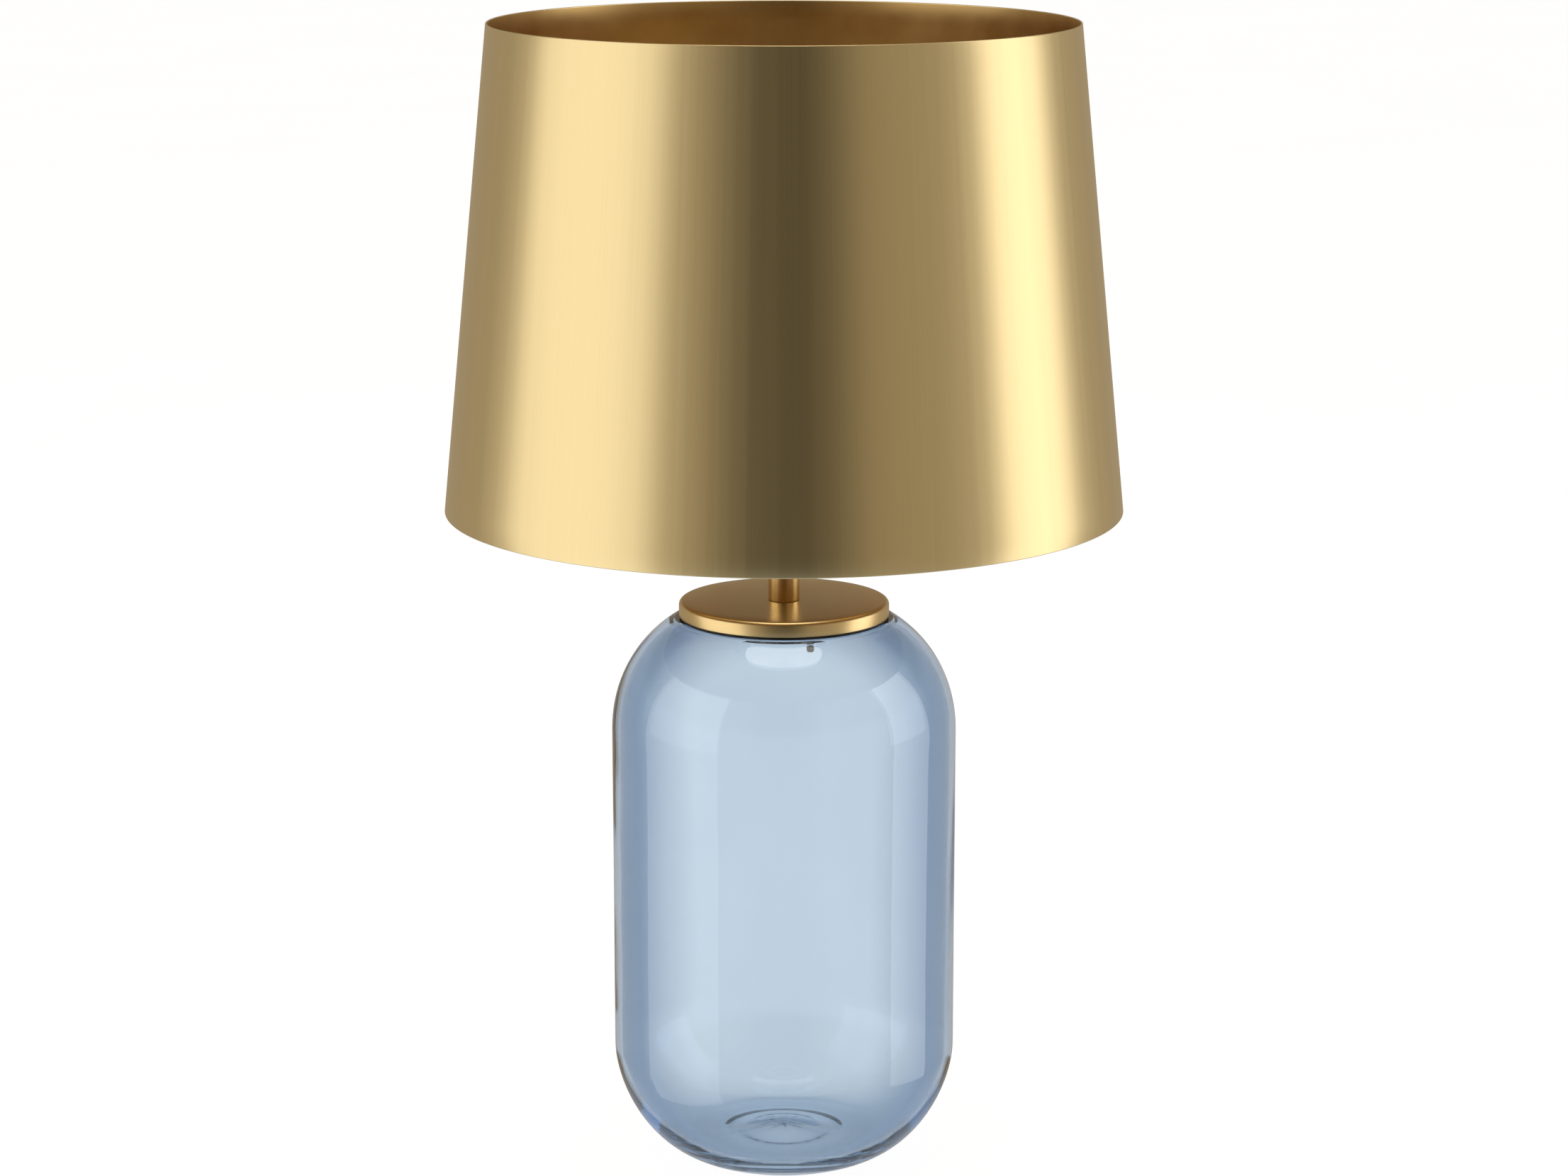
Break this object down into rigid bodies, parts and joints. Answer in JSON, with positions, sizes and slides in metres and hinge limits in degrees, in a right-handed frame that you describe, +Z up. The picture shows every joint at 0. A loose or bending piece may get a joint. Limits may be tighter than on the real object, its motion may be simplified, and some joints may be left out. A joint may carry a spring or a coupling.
{
  "type": "table lamp",
  "caption": "Table lamp with a clear blue glass capsule base, a round satin gold lid and stem, and a tapered satin gold metal shade around a screw-in bulb.",
  "frame": {"origin": "on the table, under the middle of the glass", "axes": "+Z up along the stem, -Y to the front, the cord inlet at the back (+Y)"},
  "size_m": [0.3, 0.3, 0.5121],
  "materials": {
    "blue_glass": "clear blown glass, light steel blue, polished",
    "satin_gold_sheet": "satin gold anodised sheet, finely brushed upwards",
    "satin_gold_metal": "satin gold plated",
    "black_rubber": "matt moulded rubber",
    "black_plastic": "moulded, fine matt texture",
    "white_plastic": "moulded, matt",
    "zinc_steel": "zinc plated",
    "brass": "plain pressed brass",
    "clear_glass": "clear, polished",
    "nickel": "nickel plated",
    "filament_yellow": "matt phosphor coating",
    "board_green": "circuit board lacquer"
  },
  "bodies": {
    "glass": {"glass_body": "blue_glass"},
    "lid": {"lid_gasket": "black_rubber", "lid_cap": "satin_gold_metal", "cord_bushing": "black_plastic", "plug_seal_ring": "black_rubber", "plug_plate": "zinc_steel", "plug_hub": "black_plastic", "hub_screw_1": "zinc_steel", "hub_screw_2": "zinc_steel", "stem_rod": "zinc_steel", "rod_lock_washer": "zinc_steel", "rod_nut": "zinc_steel", "stem_tube": "satin_gold_metal", "stem_top_washer": "satin_gold_metal", "holder_base": "black_plastic", "holder_grub_screw": "zinc_steel", "holder_shell": "black_plastic", "holder_insert": "white_plastic", "screw_shell": "brass", "terminal_live": "brass", "terminal_neutral": "brass", "terminal_screw_live": "zinc_steel", "terminal_screw_neutral": "zinc_steel"},
    "contact": {"centre_contact": "brass"},
    "lower_ring": {"shade_ring_lower": "black_plastic"},
    "shade": {"fitter_ring": "satin_gold_metal", "fitter_arm_1": "satin_gold_metal", "fitter_arm_2": "satin_gold_metal", "fitter_arm_3": "satin_gold_metal", "shade_shell": "satin_gold_sheet"},
    "upper_ring": {"shade_ring_upper": "black_plastic"},
    "bulb": {"bulb_glass": "clear_glass", "bulb_cap": "nickel", "bulb_insulator": "black_plastic", "bulb_contact": "nickel", "bulb_mount": "clear_glass", "bulb_driver": "board_green", "led_filament_1": "filament_yellow", "led_filament_2": "filament_yellow", "led_filament_3": "filament_yellow", "led_filament_4": "filament_yellow"}
  },
  "joints": [
    {"name": "lid_lift", "type": "slide", "parent": "glass", "child": "lid", "axis": [0, 0, 1], "range_m": [0, 0.06]},
    {"name": "contact_press", "type": "slide", "parent": "lid", "child": "contact", "axis": [0, 0, 1], "range_m": [-0.0012, 0], "stiffness_N_per_m": 600},
    {"name": "shade_turn", "type": "hinge", "parent": "lid", "child": "lower_ring", "pos_m": [0, 0, 0.3412], "axis": [0, 0, 1], "continuous": true},
    {"name": "shade_lift", "type": "slide", "parent": "lower_ring", "child": "shade", "axis": [0, 0, 1], "range_m": [0, 0.08]},
    {"name": "ring_lift", "type": "slide", "parent": "shade", "child": "upper_ring", "axis": [0, 0, 1], "range_m": [0, 0.175]},
    {"name": "bulb_lift", "type": "slide", "parent": "upper_ring", "child": "bulb", "axis": [0, 0, 1], "range_m": [0, 0.175]}
  ]
}
